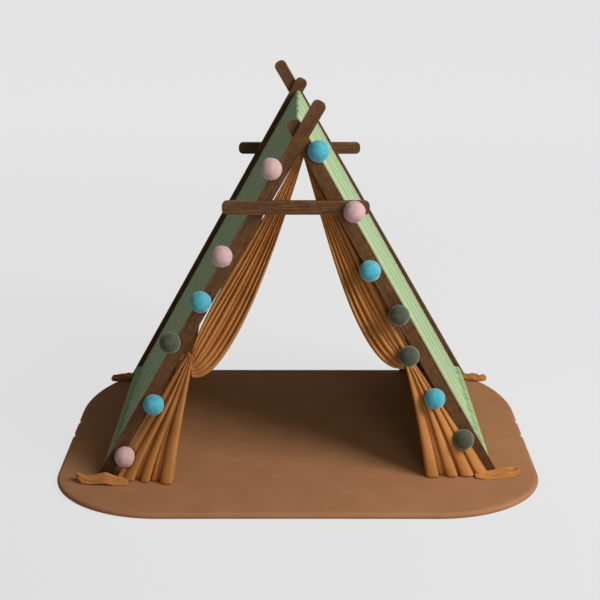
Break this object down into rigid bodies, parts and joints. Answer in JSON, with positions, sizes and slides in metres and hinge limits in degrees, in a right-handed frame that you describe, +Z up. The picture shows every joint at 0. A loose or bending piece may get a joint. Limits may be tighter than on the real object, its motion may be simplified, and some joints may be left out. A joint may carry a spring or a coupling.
{
  "type": "play tent",
  "caption": "A-frame play tent with crossed wooden battens, a striped cloth cover, gathered side curtains, felt balls along the legs and a padded floor mat.",
  "frame": {"origin": "on the floor under the mat, midway between the four feet of the frames", "axes": "+Z up, -Y towards the front with the felt balls, +X to the right of someone facing the front"},
  "size_m": [1.65, 1.236, 1.3041],
  "materials": {
    "walnut": "dark walnut stain, matt lacquer",
    "striped_cotton": "pale green cotton with thin darker stripes",
    "ochre_cotton": "ochre cotton, plain weave",
    "brown_canvas": "brown canvas over thin padding",
    "zinc_steel": "zinc plated",
    "pink_felt": "dusty pink felted wool",
    "blue_felt": "teal blue felted wool",
    "olive_felt": "dark olive felted wool"
  },
  "bodies": {
    "root": {"cover": "striped_cotton", "felt_ball_01": "pink_felt", "felt_ball_02": "pink_felt", "felt_ball_03": "blue_felt", "felt_ball_04": "olive_felt", "felt_ball_05": "blue_felt", "felt_ball_06": "pink_felt", "felt_ball_07": "blue_felt", "felt_ball_08": "blue_felt", "felt_ball_09": "olive_felt", "felt_ball_10": "olive_felt", "felt_ball_11": "blue_felt", "felt_ball_12": "olive_felt", "felt_ball_13": "pink_felt", "front_crossbar": "walnut", "front_crossbar_screw_1": "zinc_steel", "front_crossbar_screw_2": "zinc_steel", "front_crossbar_screw_3": "zinc_steel", "front_crossbar_screw_4": "zinc_steel", "front_crossbar_spacer": "walnut", "front_curtain_loop": "ochre_cotton", "front_inner_leg": "walnut", "front_left_curtain": "ochre_cotton", "front_left_curtain_tab": "ochre_cotton", "front_outer_leg": "walnut", "front_right_curtain": "ochre_cotton", "front_right_curtain_tab": "ochre_cotton", "left_hem_rail": "walnut", "mat": "brown_canvas", "rear_crossbar": "walnut", "rear_crossbar_screw_1": "zinc_steel", "rear_crossbar_screw_2": "zinc_steel", "rear_crossbar_screw_3": "zinc_steel", "rear_crossbar_screw_4": "zinc_steel", "rear_crossbar_spacer": "walnut", "rear_curtain_loop": "ochre_cotton", "rear_inner_leg": "walnut", "rear_left_curtain": "ochre_cotton", "rear_left_curtain_tab": "ochre_cotton", "rear_outer_leg": "walnut", "rear_right_curtain": "ochre_cotton", "rear_right_curtain_tab": "ochre_cotton", "ridge_pole": "walnut", "right_hem_rail": "walnut"}
  },
  "joints": []
}
